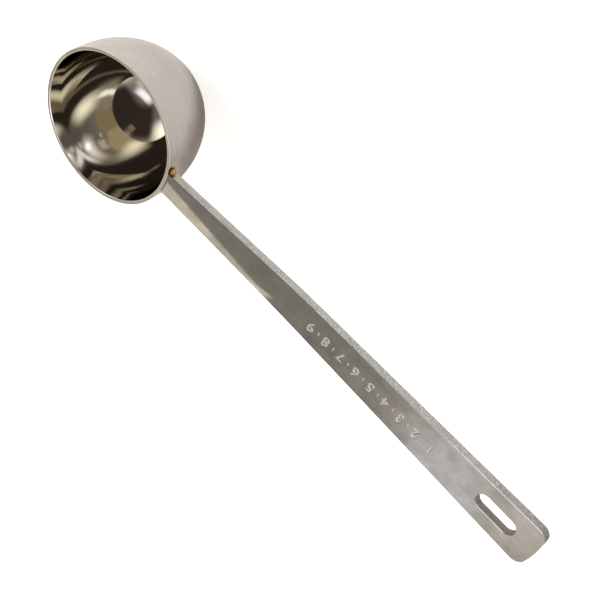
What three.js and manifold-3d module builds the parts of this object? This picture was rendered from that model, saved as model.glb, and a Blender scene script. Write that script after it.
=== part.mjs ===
// A long-handled coffee scoop in stainless steel: a deep-drawn bowl, a flat tapered strip handle with a
// hanging slot, and the two weld tacks that hold the strip to the bowl just under its rim.
// Millimetres, +Z up. The handle points along +X, and the bowl opens upwards.

import * as THREE from 'three';
import { mergeVertices } from 'three/addons/utils/BufferGeometryUtils.js';
import Module from 'manifold-3d';

const wasm = await Module();
wasm.setup();

// Bowl: a straight band under the rim, then a half-ellipsoid dome.
const bowlRadius = 18;
const bowlWall = 0.85;
const bowlBand = 3.4;
const bowlDome = 20.2;
const rimRound = 0.25;

// Handle: a blanked strip, set slightly down at its root and level from its bend to its end.
// The reaches along the handle are measured from the bowl's axis.
const handleThickness = 2;
const handleStep = 0.65;
const rootWidth = 5.7;
const bendWidth = 8.35;
const endWidth = 12.45;
const bendReach = 53.9;
const bendSpan = 14;
const rootSlope = 1.78;
const endReach = 126.8;
const endCrown = 0.7;
const endCorner = 2.2;
const edgeRound = 0.4;
const leastSideFlat = 0.1;

// Hanging slot: a stadium cut through the wide end of the strip.
const slotLength = 10.6;
const slotWidth = 4.2;
const slotEndMargin = 5.7;
const slotEdgeRound = 0.2;

// Weld tacks: one small bead on each side of the strip's root, in the corner with the bowl's wall.
// The drops are measured from the strip's top face: the right bead sits high, and the left one low.
const tackSpread = 0.95;
const tackHeight = 0.85;
const tackDepth = 0.9;
const tackOffset = 0.7;
const rightTackDrop = 0.6;
const leftTackDrop = 1.9;

// Clearance left at every welded seam, and how far a cutting tool runs past what it cuts.
const seamGap = 0.3;
const cutMargin = 2;

// Facets.
const turnSegments = 64;
const domeSteps = 13;
const cornerSteps = 5;
const crownSteps = 4;
const bendSteps = 4;
const roundSteps = 3;
const beadSegments = 16;
const beadRings = 12;

// Points closer than this are one point, in millimetres.
const mergeDistance = 1e-5;

const rootRise = Math.tan(THREE.MathUtils.degToRad(rootSlope));
const quarterTurn = Math.PI / 2;

// Solids and meshes

/** Turns a closed geometry into a solid that can be joined and cut. */
function toSolid(geometry) {
  const bare = geometry.clone();
  bare.deleteAttribute('normal');
  bare.deleteAttribute('uv');
  const merged = mergeVertices(bare, mergeDistance);
  return new wasm.Manifold(new wasm.Mesh({
    numProp: 3,
    vertProperties: new Float32Array(merged.attributes.position.array),
    triVerts: new Uint32Array(merged.index.array),
  }));
}

/** Gives a solid back as a geometry with flat facets. */
function toGeometry(solid) {
  const { vertProperties, triVerts } = solid.getMesh();
  const geometry = new THREE.BufferGeometry();
  geometry.setAttribute('position', new THREE.BufferAttribute(vertProperties, 3));
  geometry.setIndex(new THREE.BufferAttribute(triVerts, 1));
  const facets = geometry.toNonIndexed();
  facets.computeVertexNormals();
  return facets;
}

/** Turns a profile of (radius, height) points about +Z. */
function turned(profile) {
  return new THREE.LatheGeometry(profile, turnSegments).rotateX(quarterTurn);
}

/**
 * Lofts a plate that is mirrored about the XZ plane. The half outline gives (x, half width) points with
 * their outward directions, and each ring gives an inset from that outline at a height.
 */
function loftedPlate(half, rings, heightAt) {
  const count = half.length;
  const positions = [];
  for (const { inset, z } of rings) {
    const ring = half.map(({ point, outward }) => point.clone().addScaledVector(outward, -inset));
    for (const { x, y } of ring) {
      positions.push(x, y, z + heightAt(x));
    }
    for (const { x, y } of ring) {
      positions.push(x, -y, z + heightAt(x));
    }
  }
  const left = (ring, i) => ring * 2 * count + i;
  const right = (ring, i) => ring * 2 * count + count + i;
  const index = [];
  const quad = (a, b, c, d) => index.push(a, b, c, a, c, d);
  const top = rings.length - 1;
  for (let i = 0; i + 1 < count; i += 1) {
    quad(right(top, i), right(top, i + 1), left(top, i + 1), left(top, i));
    quad(right(0, i), left(0, i), left(0, i + 1), right(0, i + 1));
    for (let ring = 0; ring < top; ring += 1) {
      quad(left(ring, i), left(ring + 1, i), left(ring + 1, i + 1), left(ring, i + 1));
      quad(right(ring, i), right(ring, i + 1), right(ring + 1, i + 1), right(ring + 1, i));
    }
  }
  const last = count - 1;
  for (let ring = 0; ring < top; ring += 1) {
    quad(left(ring, 0), right(ring, 0), right(ring + 1, 0), left(ring + 1, 0));
    quad(left(ring, last), left(ring + 1, last), right(ring + 1, last), right(ring, last));
  }
  const geometry = new THREE.BufferGeometry();
  geometry.setAttribute('position', new THREE.Float32BufferAttribute(positions, 3));
  geometry.setIndex(index);
  return geometry;
}

/** Pairs each point of a half outline with its outward direction. */
function withOutward(points) {
  return points.map((point, i) => {
    const before = points[Math.max(i - 1, 0)];
    const after = points[Math.min(i + 1, points.length - 1)];
    const along = after.clone().sub(before).normalize();
    const onAxis = Math.abs(point.y) < mergeDistance;
    const outward = new THREE.Vector2(-along.y, along.x);
    return { point, outward: onAxis ? new THREE.Vector2(Math.sign(outward.x), 0) : outward };
  });
}

/** Points on an arc about a centre, from one angle to another, both ends included. */
function arcPoints(centre, radius, from, to, steps) {
  return Array.from({ length: steps + 1 }, (_, i) => {
    const angle = THREE.MathUtils.lerp(from, to, i / steps);
    return new THREE.Vector2(Math.cos(angle), Math.sin(angle)).multiplyScalar(radius).add(centre);
  });
}

// Bowl

/** One wall of the bowl, from the pole up to where its straight band starts. */
function bowlSide(radius, dome) {
  const points = Array.from({ length: domeSteps + 1 }, (_, i) => {
    const angle = (quarterTurn * i) / domeSteps;
    return new THREE.Vector2(radius * Math.sin(angle), -bowlBand - dome * Math.cos(angle));
  });
  points[0].x = 0;
  return points;
}

/** The drawn shell: outer dome and band, rounded rim, then the inner band and dome. */
function bowlGeometry() {
  const round = Math.min(rimRound, bowlWall / 2);
  const innerRadius = bowlRadius - bowlWall;
  const outerEdge = arcPoints(new THREE.Vector2(bowlRadius - round, -round), round, 0, quarterTurn, roundSteps);
  const innerEdge = arcPoints(
    new THREE.Vector2(innerRadius + round, -round), round, quarterTurn, Math.PI, roundSteps);
  const inside = bowlSide(innerRadius, bowlDome - bowlWall).reverse();
  return turned([...bowlSide(bowlRadius, bowlDome), ...outerEdge, ...innerEdge, ...inside]);
}

/** Everything within the bowl's outside and a gap round it, to cut away from what is welded on. */
function bowlEnvelope(gap) {
  const top = cutMargin + tackHeight;
  const lid = [new THREE.Vector2(bowlRadius + gap, top), new THREE.Vector2(0, top)];
  return toSolid(turned([...bowlSide(bowlRadius + gap, bowlDome + gap), ...lid]));
}

// Handle

/** Height of the strip's top face below the rim at a reach: falling to the bend, then level. */
function handleTop(x) {
  const bendStart = bendReach - bendSpan / 2;
  const intoBend = THREE.MathUtils.clamp(x - bendStart, 0, bendSpan);
  const straightFall = rootRise * (Math.min(x, bendStart) - bowlRadius);
  const bendFall = rootRise * (intoBend - (intoBend * intoBend) / (2 * bendSpan));
  return -handleStep - straightFall - bendFall;
}

/** Half outline of the strip from inside the bowl to the middle of its crowned end. */
function handleHalfOutline() {
  const rootTaper = (bendWidth - rootWidth) / (bendReach - bowlRadius) / 2;
  const gripTaper = (endWidth - bendWidth) / (endReach - endCrown - bendReach) / 2;
  const innerReach = bowlRadius - cutMargin;
  const halfWidth = (x) => bendWidth / 2 + (x < bendReach ? rootTaper : gripTaper) * (x - bendReach);
  const sides = [innerReach, bowlRadius];
  for (let i = 0; i <= bendSteps; i += 1) {
    sides.push(bendReach + bendSpan * (i / bendSteps - 0.5));
  }
  const crownRadius = endWidth ** 2 / (8 * endCrown) + endCrown / 2;
  const crownCentre = new THREE.Vector2(endReach - crownRadius, 0);
  // The corner's arc touches the straight side and the crowned end.
  const lean = Math.hypot(1, gripTaper);
  const sideAtZero = halfWidth(bendReach) - gripTaper * bendReach - endCorner * lean;
  const reachSquared = (crownRadius - endCorner) ** 2;
  const b = gripTaper * sideAtZero - crownCentre.x;
  const c = crownCentre.x ** 2 + sideAtZero ** 2 - reachSquared;
  const cornerX = (-b + Math.sqrt(b * b - lean * lean * c)) / (lean * lean);
  const corner = new THREE.Vector2(cornerX, sideAtZero + gripTaper * cornerX);
  const sideAngle = quarterTurn + Math.atan(gripTaper);
  const crownAngle = corner.clone().sub(crownCentre).angle();
  const cornerArc = arcPoints(corner, endCorner, sideAngle, crownAngle, cornerSteps);
  const crownArc = arcPoints(crownCentre, crownRadius, crownAngle, 0, crownSteps).slice(1);
  const straight = sides.map((x) => new THREE.Vector2(x, halfWidth(x)));
  return withOutward([...straight, ...cornerArc, ...crownArc]);
}

/** Rings of a plate with rounded edges: an inset at each height, from its underside to its top face. */
function roundedRings(thickness, round) {
  const edge = arcPoints(new THREE.Vector2(0, 0), round, quarterTurn, 0, roundSteps)
    .map(({ x, y }) => ({ inset: round - x, z: y - round }));
  const upper = edge.slice().reverse();
  const lower = edge.map(({ inset, z }) => ({ inset, z: -thickness - z }));
  return [...lower, ...upper];
}

/** The strip before its slot is punched and its root is fitted, grown outwards by a gap. */
function stripBlank(gap) {
  const round = Math.min(edgeRound, (handleThickness - leastSideFlat) / 2);
  const rings = roundedRings(handleThickness, round).map(({ inset, z }) => {
    const side = z > -handleThickness / 2 ? gap : -gap;
    return { inset: inset - gap, z: z + side };
  });
  return toSolid(loftedPlate(handleHalfOutline(), rings, handleTop));
}

/** The punch for the hanging slot, flared where the slot's edges are eased. */
function slotPunch() {
  const radius = slotWidth / 2;
  const last = endReach - slotEndMargin;
  const first = last - slotLength;
  const firstCentre = new THREE.Vector2(first + radius, 0);
  const lastCentre = new THREE.Vector2(last - radius, 0);
  const half = withOutward([
    ...arcPoints(firstCentre, radius, Math.PI, quarterTurn, cornerSteps),
    ...arcPoints(lastCentre, radius, quarterTurn, 0, cornerSteps),
  ]);
  const eased = roundedRings(handleThickness, slotEdgeRound)
    .map(({ inset, z }) => ({ inset: -inset, z }));
  const below = { inset: -slotEdgeRound, z: -handleThickness - cutMargin };
  const above = { inset: -slotEdgeRound, z: cutMargin };
  return toSolid(loftedPlate(half, [below, ...eased, above], () => handleTop(endReach)));
}

/** The finished strip: root fitted round the bowl, slot punched through its end. */
function handleGeometry() {
  return toGeometry(stripBlank(0).subtract(bowlEnvelope(seamGap)).subtract(slotPunch()));
}

// Weld tacks

/** A bead in the corner between the bowl's wall and one side of the strip, at a drop below its top face. */
function tackGeometry(side, drop) {
  const across = side * (rootWidth / 2 + tackOffset);
  const bead = new THREE.SphereGeometry(1, beadSegments, beadRings)
    .scale(tackDepth, tackSpread, tackHeight)
    .rotateZ(Math.asin(across / bowlRadius))
    .translate(Math.sqrt(bowlRadius ** 2 - across ** 2), across, -handleStep - drop);
  return toGeometry(toSolid(bead).subtract(bowlEnvelope(seamGap)).subtract(stripBlank(seamGap)));
}

// Assembly

/** A named sub-part with its own finish. */
function part(name, geometry, color, roughness) {
  const material = new THREE.MeshStandardMaterial({ color, roughness, metalness: 1 });
  const mesh = new THREE.Mesh(geometry, material);
  mesh.name = name;
  return mesh;
}

const scoop = new THREE.Group();
scoop.add(part('bowl', bowlGeometry(), 0xc9c3b8, 0.3));
scoop.add(part('handle', handleGeometry(), 0xb9b4aa, 0.35));
scoop.add(part('weld_tack_right', tackGeometry(1, rightTackDrop), 0xb98a4a, 0.5));
scoop.add(part('weld_tack_left', tackGeometry(-1, leftTackDrop), 0xb98a4a, 0.5));

// The origin lies on the surface that the bowl stands on, under the middle of the scoop's length.
scoop.position.set((bowlRadius - endReach) / 2, 0, bowlBand + bowlDome);

export default scoop;
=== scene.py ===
"""Dresses the coffee scoop: a drawn, polished bowl, a stamped strip for a handle, and their welds."""

import logging
import math
from collections.abc import Callable, Iterator, Sequence
from contextlib import contextmanager
from dataclasses import dataclass, field
from enum import Enum, IntEnum

import bmesh
import bpy
from bmesh.types import BMEdge, BMFace, BMVert
from bpy.types import Material, MeshPolygon, Node, NodeSocket, NodeTree, Object
from mathutils import Matrix, Vector


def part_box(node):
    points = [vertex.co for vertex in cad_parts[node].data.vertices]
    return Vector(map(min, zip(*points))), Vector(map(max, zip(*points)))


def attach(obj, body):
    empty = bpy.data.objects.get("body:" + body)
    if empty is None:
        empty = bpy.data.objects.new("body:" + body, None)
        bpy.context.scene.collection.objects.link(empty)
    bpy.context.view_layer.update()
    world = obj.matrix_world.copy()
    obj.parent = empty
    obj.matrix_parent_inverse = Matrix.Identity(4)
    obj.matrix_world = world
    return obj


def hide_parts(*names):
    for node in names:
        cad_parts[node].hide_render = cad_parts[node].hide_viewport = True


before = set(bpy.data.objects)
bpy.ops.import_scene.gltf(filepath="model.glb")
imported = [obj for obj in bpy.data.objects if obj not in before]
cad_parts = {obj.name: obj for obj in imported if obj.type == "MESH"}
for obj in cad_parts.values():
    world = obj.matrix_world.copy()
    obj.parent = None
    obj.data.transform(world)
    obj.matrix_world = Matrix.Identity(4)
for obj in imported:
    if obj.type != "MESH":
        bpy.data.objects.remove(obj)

log = logging.getLogger("coffee_scoop")

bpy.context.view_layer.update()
BODY = "root"
MM = 0.001

# How far off a point may be and still lie on a line, be level with a face, or be the same as another point.
NEAR = 0.01 * MM
LEVEL = 0.001 * MM
DOUBLED = 0.0005 * MM

Colour = tuple[float, float, float, float]
Point = tuple[float, float, float]
Span = tuple[float, float]
Stops = tuple[tuple[float, float], ...]
Element = BMVert | BMEdge | BMFace
Source = Node | NodeSocket


class Pick(Enum):
    """Which kind of element a choice in edit mode is made of."""

    VERTS = "VERT"
    EDGES = "EDGE"
    FACES = "FACE"


class StripSide(IntEnum):
    """The strip's material slots, in order."""

    FACE = 0
    EDGE = 1
    EASED = 2
    SLOT = 3
    FIGURE = 4


class BowlSide(IntEnum):
    """The bowl's material slots, in order."""

    OUTSIDE = 0
    INSIDE = 1
    RIM = 2


def linear(code: str) -> Colour:
    """Turns an sRGB hex colour into linear RGBA.

    Args:
        code: Six hex digits with a leading hash.

    Returns:
        The linear colour with an alpha of 1.
    """
    shares = [int(code[i:i + 2], 16) / 255 for i in (1, 3, 5)]
    red, green, blue = [s / 12.92 if s <= 0.04045 else ((s + 0.055) / 1.055) ** 2.4 for s in shares]
    return red, green, blue, 1.0


def grey(value: float) -> Colour:
    """Gives a linear grey for a ramp that carries a plain number."""
    return value, value, value, 1.0


def add_node(tree: NodeTree, kind: str, inputs: dict[str | int, object] | None = None,
             **settings: object) -> Node:
    """Adds one node with its settings and its links.

    Args:
        tree: The node tree that gets the node.
        kind: The shader node's type name, after its usual prefix.
        inputs: Socket name or index against a value, or against what to link: an output socket, or a node for
            its first output.
        settings: Properties of the node itself.

    Returns:
        The new node.
    """
    node = tree.nodes.new("ShaderNode" + kind)
    for name, value in settings.items():
        setattr(node, name, value)
    for key, value in (inputs or {}).items():
        if isinstance(value, Node):
            value = value.outputs[0]
        if isinstance(value, NodeSocket):
            tree.links.new(value, node.inputs[key])
        else:
            node.inputs[key].default_value = value
    return node


def set_ramp(node: Node, stops: list[tuple[float, Colour]]) -> None:
    """Sets a colour ramp's stops.

    Args:
        node: The colour ramp node.
        stops: Position and colour of each stop, in order.
    """
    elements = node.color_ramp.elements
    while len(elements) < len(stops):
        elements.new(1.0)
    for element, (place, colour) in zip(elements, stops):
        element.position = place
        element.color = colour


def bare_material(name: str) -> Material:
    """Adds a material with an empty node tree.

    Args:
        name: What the material is and how its surface was made.

    Returns:
        The new material.
    """
    material = bpy.data.materials.new(name)
    material.use_nodes = True
    material.node_tree.nodes.clear()
    return material


def direction(azimuth: float, elevation: float) -> Vector:
    """Gives a direction in the room.

    Args:
        azimuth: Degrees from +X towards +Y.
        elevation: Degrees above the floor.

    Returns:
        The unit vector.
    """
    turn, rise = math.radians(azimuth), math.radians(elevation)
    return Vector((math.cos(rise) * math.cos(turn), math.cos(rise) * math.sin(turn), math.sin(rise)))


def facing(target: Vector, away: Vector, distance: float) -> Matrix:
    """Places something at a distance from a point, turned to face it.

    Args:
        target: The point that it faces.
        away: The direction from the point to its place.
        distance: How far away it stands.

    Returns:
        Its place and turn, with Z away from the point.
    """
    return Matrix.Translation(target + away * distance) @ away.to_track_quat("Z", "Y").to_matrix().to_4x4()


def start_clean() -> None:
    """Leaves edit mode and deselects every object, so that the next operator meets only its own piece."""
    if bpy.context.object and bpy.context.object.mode != "OBJECT":
        bpy.ops.object.mode_set(mode="OBJECT")
    bpy.ops.object.select_all(action="DESELECT")


def hold(piece: Object) -> None:
    """Makes one piece the only selected and the active object.

    Args:
        piece: The object that the next operator acts on.
    """
    start_clean()
    piece.select_set(True)
    bpy.context.view_layer.objects.active = piece


def named(name: str) -> Object:
    """Names the object that an operator has just added, and its mesh with it.

    Args:
        name: The piece's name.

    Returns:
        The object.
    """
    piece = bpy.context.object
    piece.name = name
    piece.data.name = name
    return piece


@contextmanager
def editing(piece: Object) -> Iterator[None]:
    """Opens a piece in edit mode with nothing selected, and closes it again.

    Args:
        piece: The mesh object to edit.
    """
    hold(piece)
    bpy.ops.object.mode_set(mode="EDIT")
    bpy.ops.mesh.select_all(action="DESELECT")
    yield
    bpy.ops.object.mode_set(mode="OBJECT")


def choose(piece: Object, pick: Pick, test: Callable[[Element], bool]) -> None:
    """Selects the elements of the edited mesh that pass a test, and no others.

    Args:
        piece: The object in edit mode.
        pick: Whether vertices, edges or faces are tested.
        test: Says whether an element is wanted.
    """
    bpy.ops.mesh.select_mode(type=pick.value)
    bpy.ops.mesh.select_all(action="DESELECT")
    mesh = bmesh.from_edit_mesh(piece.data)
    elements = {Pick.VERTS: mesh.verts, Pick.EDGES: mesh.edges, Pick.FACES: mesh.faces}[pick]
    for element in elements:
        if test(element):
            element.select_set(True)
    bmesh.update_edit_mesh(piece.data)


def middle(edge: BMEdge) -> Vector:
    """Gives the point halfway along an edge."""
    return (edge.verts[0].co + edge.verts[1].co) / 2


def place_in_mesh(piece: Object) -> None:
    """Applies an object's place, turn and scale to its mesh."""
    hold(piece)
    bpy.ops.object.transform_apply(location=True, rotation=True, scale=True)


def finish_with(piece: Object, kind: str, **settings: object) -> None:
    """Adds one modifier to a piece and applies it.

    Args:
        piece: The mesh object.
        kind: The modifier's type name.
        settings: Properties of the modifier.
    """
    hold(piece)
    modifier = piece.modifiers.new(kind.lower(), kind)
    for name, value in settings.items():
        setattr(modifier, name, value)
    bpy.ops.object.modifier_apply(modifier=modifier.name)


def cut_away(piece: Object, cutter: Object) -> None:
    """Takes a cutter's volume out of a piece and deletes the cutter.

    Args:
        piece: The solid that is cut.
        cutter: The closed solid that it is cut with.
    """
    finish_with(piece, "BOOLEAN", operation="DIFFERENCE", object=cutter, solver="MANIFOLD")
    bpy.data.objects.remove(cutter)


def close_up(piece: Object) -> None:
    """Merges doubled points and turns every face outwards.

    Args:
        piece: The mesh object.
    """
    with editing(piece):
        bpy.ops.mesh.select_all(action="SELECT")
        bpy.ops.mesh.remove_doubles(threshold=DOUBLED)
        bpy.ops.mesh.normals_make_consistent(inside=False)


def smooth(piece: Object, angle: float) -> None:
    """Shades a piece smooth up to an edge angle, with the normals of its broad faces kept flat.

    Args:
        piece: The finished mesh object.
        angle: The angle in degrees past which an edge stays sharp.
    """
    hold(piece)
    bpy.ops.object.shade_smooth_by_angle(angle=math.radians(angle))
    finish_with(piece, "WEIGHTED_NORMAL", weight=100, keep_sharp=True)


def fit_to_frame(piece: Object, node: str, slot: str) -> None:
    """Ties a finished piece to its body and hides the frame's part for its node.

    Args:
        piece: The finished mesh object.
        node: The frame's node that it stands for.
        slot: The record's material slot; not used.
    """
    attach(piece, BODY)
    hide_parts(node)


@dataclass(frozen=True)
class HeatTint:
    """The straw to brown oxide that small welds leave on the stainless steel around them.

    It starts and ends at a distance from each bead, with an edge that wanders in and out. Its covers are how
    much of the steel it hides on the way from start to reach.
    """

    centres: tuple[Point, ...]
    start: float = 0.9 * MM
    reach: float = 2.6 * MM
    wander: float = 0.5 * MM
    wander_size: float = 0.8 * MM
    straw: str = "#CDBE95"
    brown: str = "#6B4326"
    straw_from: float = 0.22
    covers: Stops = ((0.0, 0.75), (0.25, 0.6), (1.0, 0.0))

    def over(self, tree: NodeTree, clean: Source) -> Source:
        """Lays the tint over a clean steel colour around each bead.

        Args:
            tree: The material's node tree.
            clean: The colour of the steel away from the welds.

        Returns:
            The tinted colour.
        """
        place = add_node(tree, "TexCoord").outputs["Object"]
        ragged = add_node(tree, "TexNoise", {"Vector": place, "Scale": 1 / self.wander_size, "Detail": 3.0})
        wander = add_node(tree, "MapRange", {"Value": ragged, "To Min": -self.wander, "To Max": self.wander})
        nearest: Source | None = None
        for centre in self.centres:
            away: Source = add_node(tree, "VectorMath", {0: place, 1: centre},
                                    operation="DISTANCE").outputs["Value"]
            if nearest is not None:
                away = add_node(tree, "Math", {0: away, 1: nearest}, operation="MINIMUM")
            nearest = away
        edge = add_node(tree, "Math", {0: nearest, 1: wander}, operation="ADD")
        share = add_node(tree, "MapRange", {"Value": edge, "From Min": self.start, "From Max": self.reach})
        tint = add_node(tree, "ValToRGB", {0: share})
        straw = linear(self.straw)
        set_ramp(tint, [(0.0, linear(self.brown)), (self.straw_from, straw), (1.0, straw)])
        cover = add_node(tree, "ValToRGB", {0: share})
        set_ramp(cover, [(stop, grey(value)) for stop, value in self.covers])
        return add_node(tree, "Mix", {"Factor": cover, "A": clean, "B": tint},
                        data_type="RGBA").outputs["Result"]


@dataclass(frozen=True)
class SteelFinish:
    """Stainless steel and how its surface was worked.

    The grain lies along one direction of the piece: each entry of grain is the size in metres of one streak
    along X, Y and Z. Around a turned piece the streaks run round the axis instead, and the second entry is an
    angle. Grain and clouds vary the steel from tone, where it is smoothest, to shade. Where stamping has
    pressed a piece, its slow waves grow between two places along X. Where shade is painted on a piece, its
    tone falls between two places along X, by the shares given for the painted shade.
    """

    name: str
    tone: str
    shade: str
    roughness: Span
    grain: Point
    grain_depth: float
    wave: float
    wave_depth: float
    axis: Span | None = None
    tint: HeatTint | None = None
    cloud: float = 4 * MM
    clouding: float = 0.4
    contrast: Span = (0.3, 0.7)
    pressed: Span | None = None
    # Where the tone has painted shade along X, and how far it falls.
    painted_shade_run: Span | None = None
    painted_shade_shares: Stops = ((0.0, 1.0), (0.86, 0.78), (1.0, 0.45))
    metallic: float = 1.0

    def surface_point(self, tree: NodeTree, place: Source) -> Source:
        """Gives the coordinates that the grain follows.

        Args:
            tree: The material's node tree.
            place: Object coordinates.

        Returns:
            The same place, or radius, turn and height about the axis where the piece was turned.
        """
        if self.axis is None:
            return place
        centred = add_node(tree, "VectorMath", {0: place, 1: (*self.axis, 0.0)}, operation="SUBTRACT")
        parts = add_node(tree, "SeparateXYZ", {0: centred}).outputs
        flat = add_node(tree, "VectorMath", {0: centred, 1: (1.0, 1.0, 0.0)}, operation="MULTIPLY")
        radius = add_node(tree, "VectorMath", {0: flat}, operation="LENGTH").outputs["Value"]
        turn = add_node(tree, "Math", {0: parts["Y"], 1: parts["X"]}, operation="ARCTAN2")
        return add_node(tree, "CombineXYZ", {"X": radius, "Y": turn, "Z": parts["Z"]})

    def colour(self, tree: NodeTree, worn: Source, along: Source) -> Source:
        """Mixes the steel's colour.

        Args:
            tree: The material's node tree.
            worn: How smooth the steel is at a point, from its grain and clouds.
            along: The place along X.

        Returns:
            The colour, with its painted shade and its heat tint where the piece has them.
        """
        colour: Source = add_node(tree, "ValToRGB", {0: worn})
        set_ramp(colour, [(self.contrast[0], linear(self.shade)), (self.contrast[1], linear(self.tone))])
        # Painted shade: the tone falls between two places along X.
        if self.painted_shade_run:
            run = add_node(tree, "MapRange",
                           {"Value": along, "From Min": self.painted_shade_run[0], "From Max": self.painted_shade_run[1]})
            share = add_node(tree, "ValToRGB", {0: run})
            set_ramp(share, [(stop, grey(value)) for stop, value in self.painted_shade_shares])
            colour = add_node(tree, "Mix", {"Factor": 1.0, "A": colour, "B": share},
                              data_type="RGBA", blend_type="MULTIPLY").outputs["Result"]
        return self.tint.over(tree, colour) if self.tint else colour

    def relief(self, tree: NodeTree, place: Source, grain: Source, along: Source) -> Source:
        """Raises the slow waves of the sheet and, on them, the grain.

        Args:
            tree: The material's node tree.
            place: Object coordinates.
            grain: The height of the grain.
            along: The place along X.

        Returns:
            The surface's normal.
        """
        wave = add_node(tree, "TexNoise", {"Vector": place, "Scale": 1 / self.wave, "Detail": 1.0})
        depth: float | Node = self.wave_depth
        if self.pressed:
            depth = add_node(tree, "MapRange",
                             {"Value": along, "From Min": self.pressed[0], "From Max": self.pressed[1],
                              "To Min": 0.0, "To Max": self.wave_depth})
        swell = add_node(tree, "Bump", {"Height": wave, "Strength": 1.0, "Distance": depth})
        return add_node(tree, "Bump", {"Height": grain, "Strength": 1.0, "Distance": self.grain_depth,
                                       "Normal": swell})

    def material(self) -> Material:
        """Builds the material.

        Returns:
            A procedural material named for the steel and its finish.
        """
        material = bare_material(self.name)
        tree = material.node_tree
        place = add_node(tree, "TexCoord").outputs["Object"]
        along = add_node(tree, "SeparateXYZ", {0: place}).outputs["X"]
        stretched = add_node(tree, "Mapping",
                             {"Vector": self.surface_point(tree, place),
                              "Scale": tuple(1 / size for size in self.grain)})
        grain = add_node(tree, "TexNoise",
                         {"Vector": stretched, "Scale": 1.0, "Detail": 4.0, "Roughness": 0.6})
        cloud = add_node(tree, "TexNoise", {"Vector": place, "Scale": 1 / self.cloud, "Detail": 2.0})
        worn = add_node(tree, "Mix", {"Factor": self.clouding, "A": grain, "B": cloud})
        polish = add_node(tree, "MapRange",
                          {"Value": worn, "From Min": self.contrast[0], "From Max": self.contrast[1],
                           "To Min": self.roughness[1], "To Max": self.roughness[0]})
        steel = add_node(tree, "BsdfPrincipled",
                         {"Base Color": self.colour(tree, worn, along), "Metallic": self.metallic,
                          "Roughness": polish, "Normal": self.relief(tree, place, grain, along)})
        add_node(tree, "OutputMaterial", {"Surface": steel})
        return material


def lay_finishes(piece: Object, finishes: Sequence[SteelFinish],
                 side_of: Callable[[MeshPolygon], int]) -> None:
    """Gives each face of a piece the finish of its side.

    Args:
        piece: The finished mesh object.
        finishes: One finish for each side, in the order of the slots.
        side_of: Says which side a face is on.
    """
    piece.data.materials.clear()
    for finish in finishes:
        piece.data.materials.append(finish.material())
    for face in piece.data.polygons:
        face.material_index = side_of(face)


@dataclass(frozen=True)
class WeldSteel:
    """The skin of a small weld bead: lumpy metal under straw, red brown and dark brown oxide.

    The oxide darkens with the distance from the bead's crown, from straw at oxide_from to dark at oxide_to,
    and its lumps shift that by as much as mottle.
    """

    name: str = "Stainless steel, as welded with heat tint"
    straw: str = "#DDB679"
    red: str = "#A9642F"
    dark: str = "#46301F"
    straw_to: float = 0.4
    red_at: float = 0.68
    oxide_from: float = 0.4 * MM
    oxide_to: float = 1.5 * MM
    mottle: float = 0.7 * MM
    roughness: Span = (0.38, 0.58)
    metallic: float = 0.85
    ripple: float = 0.4 * MM
    ripple_depth: float = 0.05 * MM

    def material(self, crown: Point) -> Material:
        """Builds the material for a bead.

        Args:
            crown: The point that stands furthest out, where the oxide is palest.

        Returns:
            A procedural material.
        """
        material = bare_material(self.name)
        tree = material.node_tree
        place = add_node(tree, "TexCoord").outputs["Object"]
        lump = add_node(tree, "TexNoise", {"Vector": place, "Scale": 1 / self.ripple, "Detail": 3.0})
        away = add_node(tree, "VectorMath", {0: place, 1: crown}, operation="DISTANCE").outputs["Value"]
        mottled = add_node(tree, "Math", {0: lump, 1: self.mottle, 2: away}, operation="MULTIPLY_ADD")
        share = add_node(tree, "MapRange",
                         {"Value": mottled, "From Min": self.oxide_from, "From Max": self.oxide_to})
        oxide = add_node(tree, "ValToRGB", {0: share})
        straw = linear(self.straw)
        set_ramp(oxide, [(0.0, straw), (self.straw_to, straw), (self.red_at, linear(self.red)),
                         (1.0, linear(self.dark))])
        skin = add_node(tree, "MapRange",
                        {"Value": lump, "To Min": self.roughness[0], "To Max": self.roughness[1]})
        bump = add_node(tree, "Bump", {"Height": lump, "Strength": 1.0, "Distance": self.ripple_depth})
        steel = add_node(tree, "BsdfPrincipled", {"Base Color": oxide, "Metallic": self.metallic,
                                                  "Roughness": skin, "Normal": bump})
        add_node(tree, "OutputMaterial", {"Surface": steel})
        return material


@dataclass(kw_only=True)
class ScoopPart:
    """A part of the scoop, which takes its place and size from its node in the frame."""

    node: str
    slot: str
    low: Vector = field(init=False)
    high: Vector = field(init=False)

    def __post_init__(self) -> None:
        """Reads the corners of the node's box."""
        self.low, self.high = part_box(self.node)


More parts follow.
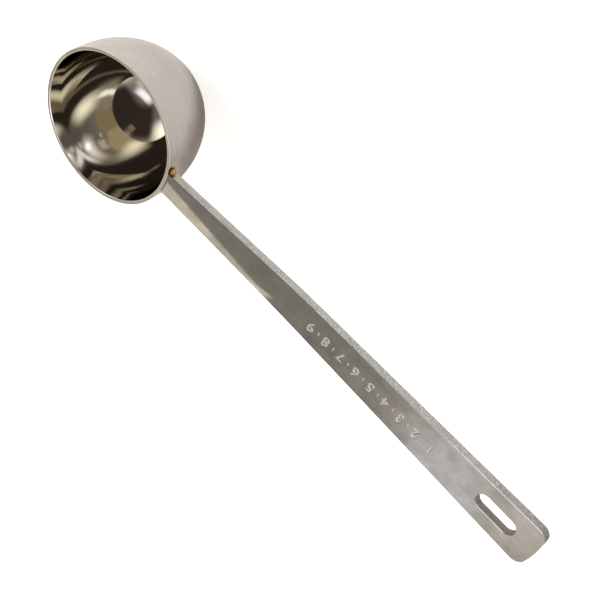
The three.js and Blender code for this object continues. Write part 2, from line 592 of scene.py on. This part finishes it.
@dataclass(kw_only=True)
class Bowl(ScoopPart):
    """The deep-drawn bowl: a straight band under the rim, then a round dome."""

    node: str = "bowl"
    slot: str = "bowl_steel"
    band: float = 3.4 * MM
    wall: float = 0.85 * MM
    rim_roll: float = 0.5 * MM
    rim_steps: int = 8
    roll_slope: float = 0.4
    rim_break: float = 0.1 * MM
    break_steps: int = 2
    around: int = 192
    down: int = 96
    smooth_to: float = 45.0
    # Where the outside's painted shade begins and where it is darkest, along X from the bowl's axis.
    painted_shade_from: float = -8.0 * MM
    painted_shade_to: float = 23.0 * MM

    @property
    def radius(self) -> float:
        """The bowl's outer radius."""
        return (self.high.x - self.low.x) / 2

    @property
    def axis(self) -> Span:
        """Where the bowl's axis stands."""
        return (self.high.x + self.low.x) / 2, (self.high.y + self.low.y) / 2

    @property
    def shoulder(self) -> float:
        """The height where the straight band turns into the dome."""
        return self.high.z - self.band

    def shell(self) -> Object:
        """Models the bowl's wall.

        Returns:
            The closed shell with its rounded rim.
        """
        start_clean()
        centre = (*self.axis, self.shoulder)
        bpy.ops.mesh.primitive_uv_sphere_add(segments=self.around, ring_count=self.down, radius=self.radius,
                                             location=centre)
        piece = named("drawn_bowl")
        place_in_mesh(piece)
        with editing(piece):
            choose(piece, Pick.FACES, lambda face: face.calc_center_median().z > self.shoulder)
            bpy.ops.mesh.delete(type="FACE")
            bpy.ops.mesh.select_all(action="SELECT")
            depth = (self.shoulder - self.low.z) / self.radius
            bpy.ops.transform.resize(value=(1.0, 1.0, depth), center_override=centre)
            choose(piece, Pick.EDGES, lambda edge: edge.is_boundary)
            bpy.ops.mesh.extrude_region_move(TRANSFORM_OT_translate={"value": (0.0, 0.0, self.band)})
            bpy.ops.mesh.select_all(action="SELECT")
            bpy.ops.mesh.remove_doubles(threshold=NEAR)
            bpy.ops.mesh.normals_make_consistent(inside=False)
        finish_with(piece, "SOLIDIFY", thickness=self.wall, offset=-1.0, use_even_offset=True)
        self.round_rim(piece)
        smooth(piece, self.smooth_to)
        return piece

    def round_rim(self, piece: Object) -> None:
        """Breaks the rim's outer edge and rolls its inner one towards the bowl.

        Args:
            piece: The square-edged shell.
        """
        mid_wall = self.radius - self.wall / 2

        def out(vert: BMVert) -> float:
            """Gives how far a vertex stands from the bowl's axis."""
            return math.hypot(vert.co.x - self.axis[0], vert.co.y - self.axis[1])

        def on_ring(edge: BMEdge, inner: bool) -> bool:
            """Says whether an edge runs round the rim on one side of the wall."""
            level = all(self.high.z - vert.co.z < NEAR for vert in edge.verts)
            return level and all((out(vert) < mid_wall) == inner for vert in edge.verts)

        with editing(piece):
            choose(piece, Pick.EDGES, lambda edge: on_ring(edge, inner=False))
            bpy.ops.mesh.bevel(offset=self.rim_break, segments=self.break_steps, affect="EDGES")
            choose(piece, Pick.EDGES, lambda edge: on_ring(edge, inner=True))
            bpy.ops.mesh.bevel(offset=self.rim_roll, segments=self.rim_steps, affect="EDGES")
            choose(piece, Pick.VERTS, lambda vert: out(vert) < mid_wall
                   and LEVEL < self.high.z - vert.co.z < self.rim_roll + NEAR)
            bpy.ops.transform.resize(value=(1.0, 1.0, self.roll_slope),
                                     center_override=(0.0, 0.0, self.high.z))

    def side_of(self, face: MeshPolygon) -> BowlSide:
        """Says which of the bowl's finishes a face has.

        Args:
            face: A face of the finished shell.

        Returns:
            The rim for the trimmed edge, and the inside or outside for the rest.
        """
        if self.high.z - face.center.z < self.rim_roll * self.roll_slope:
            return BowlSide.RIM
        out = face.center - Vector((*self.axis, self.high.z))
        return BowlSide.OUTSIDE if face.normal.dot(out) > 0 else BowlSide.INSIDE

    def dress(self, piece: Object, tint: HeatTint) -> None:
        """Gives the shell its finishes.

        Args:
            piece: The bowl's shell.
            tint: The weld's heat tint on the outside.
        """
        # A wheel's scratches are finer than this, and are drawn as coarse as they need to be to show.
        rings = (0.25 * MM, 0.9, 0.25 * MM)
        middle_x = self.axis[0]
        # A satin wheel leaves fine rings on the bowl that soften what it mirrors; its tone has painted shade
        # towards the handle.
        outside = SteelFinish(
            "Stainless steel, satin polished, painted shade", "#D8D1D0", "#CBC4C3", roughness=(0.24, 0.34),
            grain=rings, grain_depth=0.0015 * MM, wave=9 * MM, wave_depth=0.012 * MM, axis=self.axis,
            tint=tint, painted_shade_run=(middle_x + self.painted_shade_from, middle_x + self.painted_shade_to))
        # Colour buffing leaves a near mirror, with the slow waves of the drawn sheet.
        inside = SteelFinish(
            "Stainless steel, mirror buffed", "#DAD6CF", "#D2CDC4", roughness=(0.03, 0.07),
            grain=rings, grain_depth=0.0004 * MM, wave=7 * MM, wave_depth=0.02 * MM, axis=self.axis)
        # The trimmed edge is tumbled bright.
        rim = SteelFinish(
            "Stainless steel, trimmed and tumbled", "#E6E4E0", "#DAD8D4", roughness=(0.06, 0.12),
            grain=rings, grain_depth=0.001 * MM, wave=3 * MM, wave_depth=0.004 * MM, axis=self.axis,
            metallic=0.8)
        lay_finishes(piece, (outside, inside, rim), self.side_of)

    def build(self, tint: HeatTint) -> Object:
        """Models, dresses and places the bowl.

        Args:
            tint: The weld's heat tint.

        Returns:
            The finished piece.
        """
        piece = self.shell()
        self.dress(piece, tint)
        fit_to_frame(piece, self.node, self.slot)
        return piece


@dataclass(kw_only=True)
class Handle(ScoopPart):
    """The blanked strip: a tapered plan, a slight bend, a crowned end, a slot and a stamped row of numbers.

    Reaches and starts are measured along the strip from the bowl's axis, and margins from its far end.
    """

    bowl: Bowl
    node: str = "handle"
    slot: str = "handle_steel"
    thickness: float = 2.0 * MM
    root_width: float = 5.7 * MM
    root_sink: float = 0.35 * MM
    root_clear: float = 0.2 * MM
    root_slope: float = 1.78
    bend_width: float = 8.35 * MM
    bend_reach: float = 53.9 * MM
    bend_span: float = 14.0 * MM
    bend_steps: int = 8
    end_width: float = 12.45 * MM
    end_crown: float = 0.7 * MM
    end_corner: float = 2.2 * MM
    crown_span: float = 1.1
    corner_steps: int = 10
    end_cuts: int = 15
    sharp_from: float = 60.0
    edge_roll: float = 0.18 * MM
    roll_slope: float = 0.45
    edge_break: float = 0.04 * MM
    break_steps: int = 2
    slot_length: float = 10.6 * MM
    slot_width: float = 4.2 * MM
    slot_margin: float = 5.7 * MM
    slot_edge: float = 0.15 * MM
    slot_clear: float = 0.1 * MM
    slot_sides: int = 64
    figures: str = "123456789"
    figure_height: float = 3.6 * MM
    figure_pitch: float = 4.4 * MM
    figure_depth: float = 0.16 * MM
    figure_spread: float = 0.1
    figure_lean: float = 0.45
    figure_start: float = 62.0 * MM
    figure_reach: float = 0.6
    tick_length: float = 1.3 * MM
    tick_width: float = 0.5 * MM
    tick_floor: Span = (0.5, 0.85)
    pressed_run: float = 40.0 * MM
    # How far back from the far end the edge's painted shade begins and where it is darkest.
    painted_shade_margins: Span = (25.0 * MM, 0.4 * MM)
    floor_upright: float = 0.97
    face_upright: float = 0.95
    eased_upright: float = 0.6
    smooth_to: float = 20.0

    @property
    def origin(self) -> float:
        """The bowl's axis, from which every reach along the strip is measured."""
        return self.bowl.axis[0]

    @property
    def grip_top(self) -> float:
        """The height of the level stretch's top face."""
        return self.low.z + self.thickness

    @property
    def slot_ends(self) -> Span:
        """Where the hanging slot starts and ends along X."""
        far = self.high.x - self.slot_margin
        return far - self.slot_length, far

    def rise(self, x: float) -> float:
        """Gives how far the strip stands above its level stretch.

        Args:
            x: Place along the strip in the frame.

        Returns:
            The rise in metres: a straight slope near the bowl that eases to nothing over the bend.
        """
        left = self.origin + self.bend_reach + self.bend_span / 2 - x
        slope = math.tan(math.radians(self.root_slope))
        if left <= 0:
            return 0.0
        if left < self.bend_span:
            return slope * left ** 2 / (2 * self.bend_span)
        return slope * (left - self.bend_span / 2)

    def taper(self, piece: Object, root: float, end: float) -> None:
        """Draws a plane from -1 to 1, open in edit mode, out to the strip's two tapers.

        Args:
            piece: The plane.
            root: Where the strip meets the bowl.
            end: Where its corners end.
        """
        top = self.grip_top
        bend = self.origin + self.bend_reach
        for side, x, width in ((-1, root, self.root_width), (1, end, self.end_width)):
            choose(piece, Pick.VERTS, lambda vert: vert.co.x * side > 0.5)
            bpy.ops.transform.resize(value=(1.0, width / 2, 1.0), center_override=(0.0, 0.0, top))
            bpy.ops.transform.translate(value=(x - side, 0.0, 0.0))
        bpy.ops.mesh.select_all(action="SELECT")
        bpy.ops.mesh.bisect(plane_co=(bend, 0.0, top), plane_no=(1.0, 0.0, 0.0))
        choose(piece, Pick.VERTS, lambda vert: abs(vert.co.x - bend) < NEAR)
        half = max(vert.co.y for vert in bmesh.from_edit_mesh(piece.data).verts if vert.select)
        widen = self.bend_width / 2 / half
        bpy.ops.transform.resize(value=(1.0, widen, 1.0), center_override=(bend, 0.0, top))

    def curve_ends(self, piece: Object, root: float, end: float) -> None:
        """Rounds the corners, crowns the end and cuts the root to the bowl's curve, all in edit mode.

        Args:
            piece: The tapered plan.
            root: Where the strip meets the bowl.
            end: Where its corners end.
        """
        choose(piece, Pick.VERTS, lambda vert: abs(vert.co.x - end) < NEAR)
        bpy.ops.mesh.bevel(offset=self.end_corner, segments=self.corner_steps, affect="VERTICES")
        for x in (root, end):
            choose(piece, Pick.EDGES, lambda edge: all(abs(vert.co.x - x) < NEAR for vert in edge.verts))
            bpy.ops.mesh.subdivide(number_cuts=self.end_cuts)
        half = self.end_width / 2
        sunk = self.bowl.radius - self.root_sink
        for vert in bmesh.from_edit_mesh(piece.data).verts:
            if vert.co.x > end - self.end_corner * self.crown_span:
                vert.co.x += self.end_crown * max(0.0, 1 - (vert.co.y / half) ** 2)
            if abs(vert.co.x - root) < NEAR:
                vert.co.x = self.origin + math.sqrt(sunk ** 2 - vert.co.y ** 2)
        bmesh.update_edit_mesh(piece.data)

    def blank(self) -> Object:
        """Models the flat strip with its tapers, its round, crowned end and the bowl's curve at its root.

        Returns:
            The flat closed blank.
        """
        start_clean()
        bpy.ops.mesh.primitive_plane_add(size=2.0, location=(0.0, 0.0, self.grip_top))
        piece = named("stamped_handle")
        place_in_mesh(piece)
        ends = (self.origin + self.bowl.radius, self.high.x - self.end_crown)
        with editing(piece):
            self.taper(piece, *ends)
            self.curve_ends(piece, *ends)
            bpy.ops.mesh.select_all(action="SELECT")
            bpy.ops.mesh.extrude_region_move(TRANSFORM_OT_translate={"value": (0.0, 0.0, -self.thickness)})
        close_up(piece)
        return piece

    def slot_punch(self) -> Object:
        """Models the round-ended punch for the hanging slot.

        Returns:
            The closed cutter.
        """
        start_clean()
        run = self.slot_length - self.slot_width
        far = self.slot_ends[1] - self.slot_width / 2
        half_side = math.pi / self.slot_sides
        bpy.ops.mesh.primitive_cylinder_add(vertices=self.slot_sides, radius=self.slot_width / 2,
                                            depth=self.thickness * 3, location=(far, 0.0, self.grip_top),
                                            rotation=(0.0, 0.0, half_side))
        punch = named("slot_punch")
        place_in_mesh(punch)
        with editing(punch):
            choose(punch, Pick.VERTS, lambda vert: vert.co.x < far)
            bpy.ops.transform.translate(value=(-run, 0.0, 0.0))
        return punch

    def ease_edges(self, piece: Object) -> None:
        """Rolls off the slot's and the strip's upper edges and breaks its lower ones, clear of the bowl.

        Args:
            piece: The punched blank.
        """
        slot_from, slot_to = self.slot_ends
        root_end = self.origin + self.bowl.radius + self.root_clear
        half_way = self.grip_top - self.thickness / 2
        sharp = math.radians(self.sharp_from)

        def is_sharp(edge: BMEdge) -> bool:
            """Says whether two faces meet at a sharp angle along an edge."""
            return len(edge.link_faces) == 2 and edge.calc_face_angle() > sharp

        def is_level(edge: BMEdge) -> bool:
            """Says whether an edge runs level."""
            return abs(edge.verts[0].co.z - edge.verts[1].co.z) < NEAR

        def at_slot(edge: BMEdge) -> bool:
            """Says whether an edge lies on the slot's outline."""
            x, y, _ = middle(edge)
            beside = abs(y) < self.slot_width / 2 + self.slot_clear
            return beside and slot_from - self.slot_clear < x < slot_to + self.slot_clear

        with editing(piece):
            choose(piece, Pick.EDGES, lambda edge: is_sharp(edge) and at_slot(edge))
            bpy.ops.mesh.bevel(offset=self.slot_edge, segments=1, affect="EDGES")
            rounds = ((True, self.edge_roll, 1), (False, self.edge_break, self.break_steps))
            for upper, offset, steps in rounds:
                choose(piece, Pick.EDGES, lambda edge: is_sharp(edge) and not at_slot(edge) and is_level(edge)
                       and middle(edge).x > root_end and (middle(edge).z > half_way) == upper)
                bpy.ops.mesh.bevel(offset=offset, segments=steps, affect="EDGES")
            choose(piece, Pick.VERTS, lambda vert: half_way < vert.co.z < self.grip_top - LEVEL)
            bpy.ops.transform.resize(value=(1.0, 1.0, self.roll_slope),
                                     center_override=(0.0, 0.0, self.grip_top))

    def bend(self, piece: Object) -> None:
        """Sets the strip's slight bend, with cross cuts so that it curves.

        Args:
            piece: The eased blank.
        """
        first = self.origin + self.bend_reach - self.bend_span / 2
        with editing(piece):
            for step in range(self.bend_steps + 1):
                bpy.ops.mesh.select_all(action="SELECT")
                x = first + self.bend_span * step / self.bend_steps
                bpy.ops.mesh.bisect(plane_co=(x, 0.0, self.grip_top), plane_no=(1.0, 0.0, 0.0))
            for vert in bmesh.from_edit_mesh(piece.data).verts:
                vert.co.z += self.rise(vert.co.x)
            bmesh.update_edit_mesh(piece.data)

    def flatten(self, punch: Object) -> None:
        """Makes a punch shallow, so that the walls of its mark lean back towards the light.

        Args:
            punch: The closed cutter, standing in the strip's level face.
        """
        with editing(punch):
            bpy.ops.mesh.select_all(action="SELECT")
            bpy.ops.transform.resize(value=(1.0, 1.0, self.figure_lean),
                                     center_override=(0.0, 0.0, self.grip_top))

    def figure_punch(self, text: str, x: float) -> Object:
        """Models the wedge-edged punch of one figure, upright for someone on the +Y side.

        Args:
            text: The figure.
            x: Its place along the strip.

        Returns:
            The closed cutter.
        """
        start_clean()
        bpy.ops.object.text_add(location=(x, 0.0, self.grip_top + self.figure_depth),
                                rotation=(0.0, 0.0, math.pi))
        punch = bpy.context.object
        letter = punch.data
        letter.body = text
        letter.size = self.figure_height
        letter.align_x = "CENTER"
        letter.align_y = "CENTER"
        letter.extrude = self.figure_depth
        letter.bevel_depth = self.figure_depth
        letter.bevel_resolution = 0
        letter.offset = self.figure_depth * self.figure_spread
        bpy.ops.object.convert(target="MESH")
        place_in_mesh(punch)
        close_up(punch)
        self.flatten(punch)
        return punch

    def tick_punch(self, x: float) -> Object:
        """Models the wedge-edged punch of one tick between two figures.

        Args:
            x: Its place along the strip.

        Returns:
            The closed cutter.
        """
        start_clean()
        bpy.ops.mesh.primitive_cube_add(size=1.0, location=(x, 0.0, self.grip_top))
        punch = named("tick_punch")
        with editing(punch):
            bpy.ops.mesh.select_all(action="SELECT")
            bpy.ops.transform.resize(value=(self.tick_width, self.tick_length, 2 * self.figure_depth))
            choose(punch, Pick.FACES, lambda face: face.normal.z < -self.face_upright)
            bpy.ops.transform.resize(value=(*self.tick_floor, 1.0))
        place_in_mesh(punch)
        self.flatten(punch)
        return punch

    def stamp(self, piece: Object) -> None:
        """Stamps a plain row of figures with ticks between them into the level stretch.

        Args:
            piece: The bent strip.
        """
        for place, text in enumerate(reversed(self.figures)):
            x = self.origin + self.figure_start + place * self.figure_pitch
            cut_away(piece, self.figure_punch(text, x))
            if place:
                cut_away(piece, self.tick_punch(x - self.figure_pitch / 2))

    def side_of(self, face: MeshPolygon) -> StripSide:
        """Says which of the strip's finishes a face has.

        Args:
            face: A face of the finished strip.

        Returns:
            The figure for the floor of a stamped mark, the face for its walls and for both broad sides, and
            for the rest the worn corners, the slot's wall or the blanked edge.
        """
        x, y, z = face.center
        upright = face.normal.z
        reach = x - self.origin - self.figure_start
        in_row = -self.figure_pitch < reach < self.figure_pitch * len(self.figures)
        sunk = 2 * LEVEL < self.grip_top + self.rise(x) - z < self.thickness / 2
        if in_row and sunk and abs(y) < self.figure_height * self.figure_reach:
            return StripSide.FIGURE if upright > self.floor_upright else StripSide.FACE
        if abs(upright) > self.face_upright:
            return StripSide.FACE
        if upright > self.eased_upright:
            return StripSide.EASED
        slot_from, slot_to = self.slot_ends
        in_slot = slot_from < x < slot_to and abs(y) < self.slot_width / 2
        return StripSide.SLOT if in_slot else StripSide.EDGE

    def dress(self, piece: Object, tint: HeatTint) -> None:
        """Gives the strip its finishes.

        Args:
            piece: The stamped strip.
            tint: The weld's heat tint at its root.
        """
        # A belt's scratches are finer than this, and are drawn as coarse as they need to be to show.
        scratches = (6 * MM, 0.16 * MM, 0.16 * MM)
        # Torn and tumbled steel is pitted at about this size.
        specks = (0.3 * MM, 0.3 * MM, 0.3 * MM)
        pressed_from = self.origin + self.bend_reach
        pressed_to = self.origin + self.figure_start + self.pressed_run
        # Where the edge's painted shade begins and where it is darkest along X.
        painted_shade_from, painted_shade_to = [self.high.x - margin for margin in self.painted_shade_margins]
        # Strip stock is belt polished along its length: it mirrors the room in one tone under a faint haze.
        face = SteelFinish(
            "Stainless steel strip, belt polished", "#CFCECE", "#ADACAC", roughness=(0.01, 0.025),
            grain=scratches, grain_depth=0.0001 * MM, wave=7 * MM, wave_depth=0.04 * MM, tint=tint,
            clouding=0.7, pressed=(pressed_from, pressed_to), metallic=0.95)
        # The blanked edge keeps the grain of its break and is only tumbled: speckled and dull, with painted
        # shade towards the far end.
        edge = SteelFinish(
            "Stainless steel strip, blanked and tumbled, painted shade", "#E6E5E6", "#7E7D7D", roughness=(0.3, 0.46),
            grain=specks, grain_depth=0.02 * MM, wave=3 * MM, wave_depth=0.004 * MM, tint=tint, clouding=0.1,
            painted_shade_run=(painted_shade_from, painted_shade_to))
        # The corner that tumbling has worn round is smoother and catches a thin light.
        eased = SteelFinish(
            "Stainless steel strip, tumbled corner", "#DEDCD8", "#CFCDC9", roughness=(0.14, 0.22),
            grain=specks, grain_depth=0.003 * MM, wave=3 * MM, wave_depth=0.002 * MM, tint=tint)
        # The slot's punched wall is torn metal, coarse, and dark partly from the tearing and partly from
        # painted shade.
        slot = SteelFinish(
            "Stainless steel strip, punched slot, painted shade", "#B4B1AC", "#4A4743", roughness=(0.4, 0.55),
            grain=specks, grain_depth=0.03 * MM, wave=3 * MM, wave_depth=0.004 * MM, clouding=0.1)
        # The floor of a stamped figure is left as pressed; its pale, part-white tone is a painted highlight,
        # paler than the polish around it.
        figure = SteelFinish(
            "Stainless steel strip, stamped, painted highlight", "#ECEAE6", "#DEDCD8", roughness=(0.2, 0.28),
            grain=specks, grain_depth=0.004 * MM, wave=3 * MM, wave_depth=0.002 * MM, metallic=0.62)
        lay_finishes(piece, (face, edge, eased, slot, figure), self.side_of)

    def build(self, tint: HeatTint) -> Object:
        """Models, dresses and places the handle.

        Args:
            tint: The weld's heat tint.

        Returns:
            The finished piece.
        """
        piece = self.blank()
        cut_away(piece, self.slot_punch())
        self.ease_edges(piece)
        self.bend(piece)
        self.stamp(piece)
        close_up(piece)
        smooth(piece, self.smooth_to)
        self.dress(piece, tint)
        fit_to_frame(piece, self.node, self.slot)
        return piece


@dataclass(kw_only=True)
class WeldTack(ScoopPart):
    """One small weld bead in the corner between the bowl and a side of the strip."""

    slot: str = "weld_steel"
    grow: Point = (0.2 * MM, 0.16 * MM, 0.06 * MM)
    tuck: Point = (0.15 * MM, 0.1 * MM, 0.0)
    crown_shares: Point = (0.45, 0.75, 0.35)
    swell: float = 0.2 * MM
    lump: float = 0.9 * MM
    fineness: int = 5
    smooth_to: float = 180.0

    @property
    def side(self) -> Vector:
        """Mirrors an offset to the bead's own side of the strip."""
        return Vector((1.0, math.copysign(1.0, self.low.y), 1.0))

    @property
    def half(self) -> Vector:
        """Half the bead's size, grown so that it runs into the bowl and the strip."""
        return (self.high - self.low) / 2 + Vector(self.grow)

    @property
    def centre(self) -> Vector:
        """The bead's middle, tucked into the corner."""
        return (self.low + self.high) / 2 - Vector(self.tuck) * self.side

    @property
    def crown(self) -> Vector:
        """The point of the bead that stands furthest out of the corner."""
        return self.centre + Vector(self.crown_shares) * self.half * self.side

    def build(self) -> Object:
        """Models, dresses and places the bead.

        Returns:
            The finished piece.
        """
        start_clean()
        bpy.ops.mesh.primitive_ico_sphere_add(subdivisions=self.fineness, radius=1.0, location=self.centre)
        piece = named(self.node.replace("weld_tack", "weld_bead"))
        with editing(piece):
            bpy.ops.mesh.select_all(action="SELECT")
            bpy.ops.transform.resize(value=tuple(self.half), center_override=tuple(self.centre))
        place_in_mesh(piece)
        lumps = bpy.data.textures.new("weld_lumps", "CLOUDS")
        lumps.noise_scale = self.lump
        finish_with(piece, "DISPLACE", texture=lumps, texture_coords="LOCAL", strength=self.swell,
                    mid_level=0.5)
        smooth(piece, self.smooth_to)
        piece.data.materials.append(WeldSteel().material(tuple(self.crown)))
        fit_to_frame(piece, self.node, self.slot)
        return piece


@dataclass(frozen=True)
class Card:
    """A plain studio card or softbox, seen only in reflections, that faces the bowl from one direction.

    Azimuth, elevation, width, height and turn are in degrees, as seen from the bowl. Soft is the share of
    each half that fades towards the edge.
    """

    name: str
    azimuth: float
    elevation: float
    width: float
    height: float
    strength: float
    tone: str
    soft: float
    turn: float
    distance: float

    def hang(self, target: Vector) -> None:
        """Hangs the card, hidden from the camera and from shadows.

        Args:
            target: The point that it faces.
        """
        start_clean()
        bpy.ops.mesh.primitive_plane_add(size=1.0)
        card = named(self.name)
        sizes = [2 * self.distance * math.tan(math.radians(angle) / 2) for angle in (self.width, self.height)]
        place = facing(target, direction(self.azimuth, self.elevation), self.distance)
        card.matrix_world = place @ Matrix.Rotation(math.radians(self.turn), 4, "Z")
        card.scale = (*sizes, 1.0)
        card.visible_camera = False
        card.visible_shadow = False
        card.data.materials.append(self.glow())

    def glow(self) -> Material:
        """Builds the card's light, which fades towards its edges.

        Returns:
            An emission material that is clear where the card has faded out.
        """
        material = bare_material(self.name)
        tree = material.node_tree
        place = add_node(tree, "TexCoord").outputs["Object"]
        parts = add_node(tree, "SeparateXYZ", {0: place})
        half = 0.5
        fades = []
        for side in ("X", "Y"):
            off = add_node(tree, "Math", {0: parts.outputs[side]}, operation="ABSOLUTE")
            fades.append(add_node(tree, "MapRange",
                                  {"Value": off, "From Min": half * (1 - self.soft), "From Max": half,
                                   "To Min": 1.0, "To Max": 0.0}, interpolation_type="SMOOTHSTEP"))
        cover = add_node(tree, "Math", {0: fades[0], 1: fades[1]}, operation="MULTIPLY")
        light = add_node(tree, "Emission", {"Color": linear(self.tone), "Strength": self.strength})
        clear = add_node(tree, "BsdfTransparent")
        mix = add_node(tree, "MixShader", {0: cover, 1: clear, 2: light})
        add_node(tree, "OutputMaterial", {"Surface": mix})
        return material


@dataclass
class Studio:
    """The pale floor, the soft room light, the cards and the camera."""

    target: Vector
    floor_size: float = 8.0
    floor_drop: float = 0.02 * MM
    paper: str = "#F4F2EE"
    paper_glow: float = 0.75
    paper_shine: float = 0.05
    key_azimuth: float = 155.0
    key_elevation: float = 50.0
    key_distance: float = 1.5
    key_size: float = 0.7
    key_power: float = 17.0
    room_low: str = "#BDB4A1"
    room_high: str = "#75716C"
    paper_to: float = 0.03
    room_from: float = 0.12
    aim: Point = (2.27 * MM, 3.40 * MM, 21.83 * MM)
    azimuth: float = 77.03
    elevation: float = 41.85
    distance: float = 292.5 * MM
    roll: float = -125.81
    lens: float = 84.5
    sensor: float = 36.0
    # Each row: name, azimuth, elevation, width, height, strength, tone, soft, turn and distance.
    cards: tuple[Card, ...] = (
        Card("wall_bounce", 225, 24, 56, 28, 0.42, "#FFE5B7", 0.2, 0, 3.0),
        Card("wood_bounce", 284, 27, 66, 24, 0.6, "#FFEBC3", 0.4, 10, 2.9),
        Card("left_window", 159, 47, 54, 48, 1.85, "#FFFFE9", 0.98, 7, 2.8),
        Card("left_lamp", 154, 25, 24, 20, 1.9, "#FFFFFA", 0.86, 26, 2.4),
        Card("top_right_lamp", 1, 70, 20, 41, 1.5, "#FAFAFF", 0.75, -18, 0.45),
        Card("ceiling_lamp", 290, 81, 18, 14, 0.9, "#FFFFFC", 0.9, -27, 2.5),
        Card("window_gap", 282, 68, 24, 13, 3.0, "#FFFCFA", 0.95, 20, 2.4),
        Card("low_right_window", 329, 21, 60, 42, 1.65, "#FFFEE4", 0.98, 35, 2.6),
        Card("far_window", 295, 65, 68, 34, 1.6, "#FFFBFA", 0.98, -13, 2.6),
        Card("end_card", 284, 45, 34, 17, 0.78, "#FEF4E6", 0.75, 0, 2.5),
        Card("glint_card", 272.4, 41.3, 7.5, 7, 0.82, "#FFFDFB", 1.0, 24, 2.4),
        Card("root_card", 255, 40.24, 9.75, 2.66, 0.9, "#FFF6DB", 0.03, 3.9, 1.2),
        Card("camera_flag", 44, 38, 84, 60, 0.035, "#FFE2D3", 0.45, 16, 0.52),
        Card("stand_flag", 96, 53, 44, 70, 0.04, "#FFDDC5", 0.55, 35, 0.5),
        Card("warm_card", 87, 36, 14, 10, 0.24, "#FFDCBE", 0.5, 0, 0.45),
    )

    def lay_floor(self) -> None:
        """Lays the floor: paper that stays white to the eye and in the steel, and keeps a soft shadow."""
        start_clean()
        bpy.ops.mesh.primitive_plane_add(size=self.floor_size, location=(0.0, 0.0, -self.floor_drop))
        floor = named("paper_floor")
        material = bare_material("White paper, uncoated")
        tree = material.node_tree
        path = add_node(tree, "LightPath").outputs
        seen = add_node(tree, "Math", {0: path["Is Camera Ray"], 1: self.paper_glow}, operation="MULTIPLY")
        mirrored = add_node(tree, "Math",
                            {0: path["Is Glossy Ray"], 1: path["Is Transmission Ray"]}, operation="MAXIMUM")
        glow = add_node(tree, "Math", {0: mirrored, 1: self.paper_shine, 2: seen}, operation="MULTIPLY_ADD")
        paper = add_node(tree, "BsdfDiffuse", {"Color": linear(self.paper)})
        light = add_node(tree, "Emission", {"Strength": glow})
        both = add_node(tree, "AddShader", {0: paper, 1: light})
        add_node(tree, "OutputMaterial", {"Surface": both})
        floor.data.materials.append(material)

    def hang_key(self) -> None:
        """Hangs the lamp that lights the paper; the steel mirrors the window card in its place instead."""
        data = bpy.data.lights.new("key", "AREA")
        data.size = self.key_size
        data.energy = self.key_power
        lamp = bpy.data.objects.new("key", data)
        bpy.context.scene.collection.objects.link(lamp)
        lamp.matrix_world = facing(self.target, direction(self.key_azimuth, self.key_elevation),
                                   self.key_distance)
        lamp.visible_glossy = False

    def set_room(self) -> None:
        """Sets the room: pale low down, darker overhead, and white where the camera sees past the floor."""
        world = bpy.data.worlds.new("studio_room")
        bpy.context.scene.world = world
        world.use_nodes = True
        tree = world.node_tree
        tree.nodes.clear()
        look = add_node(tree, "TexCoord").outputs["Generated"]
        height = add_node(tree, "SeparateXYZ", {0: look}).outputs["Z"]
        shades = add_node(tree, "ValToRGB", {0: height})
        shades.color_ramp.interpolation = "EASE"
        paper = linear(self.paper)
        set_ramp(shades, [(0.0, paper), (self.paper_to, paper), (self.room_from, linear(self.room_low)),
                          (1.0, linear(self.room_high))])
        seen = add_node(tree, "LightPath").outputs["Is Camera Ray"]
        shown = add_node(tree, "Mix", {"Factor": seen, "A": shades, "B": grey(1.0)},
                         data_type="RGBA").outputs["Result"]
        light = add_node(tree, "Background", {"Color": shown, "Strength": 1.0})
        add_node(tree, "OutputWorld", {"Surface": light})

    def stand_camera(self) -> None:
        """Stands the camera at the photograph's viewing angle."""
        back = direction(self.azimuth, self.elevation)
        level = (-back).cross(Vector((0.0, 0.0, 1.0))).normalized()
        upright = level.cross(-back)
        roll = math.radians(self.roll)
        right = level * math.cos(roll) + upright * math.sin(roll)
        turned = Matrix((right, back.cross(right), back)).transposed().to_4x4()
        data = bpy.data.cameras.new("camera")
        data.lens = self.lens
        data.sensor_width = self.sensor
        camera = bpy.data.objects.new("camera", data)
        bpy.context.scene.collection.objects.link(camera)
        camera.matrix_world = Matrix.Translation(Vector(self.aim) + back * self.distance) @ turned
        bpy.context.scene.camera = camera

    def build(self) -> None:
        """Sets up the whole studio."""
        self.stand_camera()
        self.lay_floor()
        self.hang_key()
        self.set_room()
        for card in self.cards:
            card.hang(self.target)
        bpy.context.scene.view_settings.view_transform = "Standard"
        log.info("studio: %d cards", len(self.cards))


def main() -> None:
    """Builds the studio and the scoop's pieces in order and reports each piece."""
    logging.basicConfig(level=logging.INFO, format="%(name)s: %(message)s")
    bowl = Bowl()
    tacks = [WeldTack(node="weld_tack_right"), WeldTack(node="weld_tack_left")]
    tint = HeatTint(tuple(tuple(tack.centre) for tack in tacks))
    Studio(Vector((*bowl.axis, bowl.high.z))).build()
    pieces = [bowl.build(tint), Handle(bowl=bowl).build(tint), *[tack.build() for tack in tacks]]
    for piece in pieces:
        log.info("%s: %d faces", piece.name, len(piece.data.polygons))


if __name__ == "__main__":
    main()
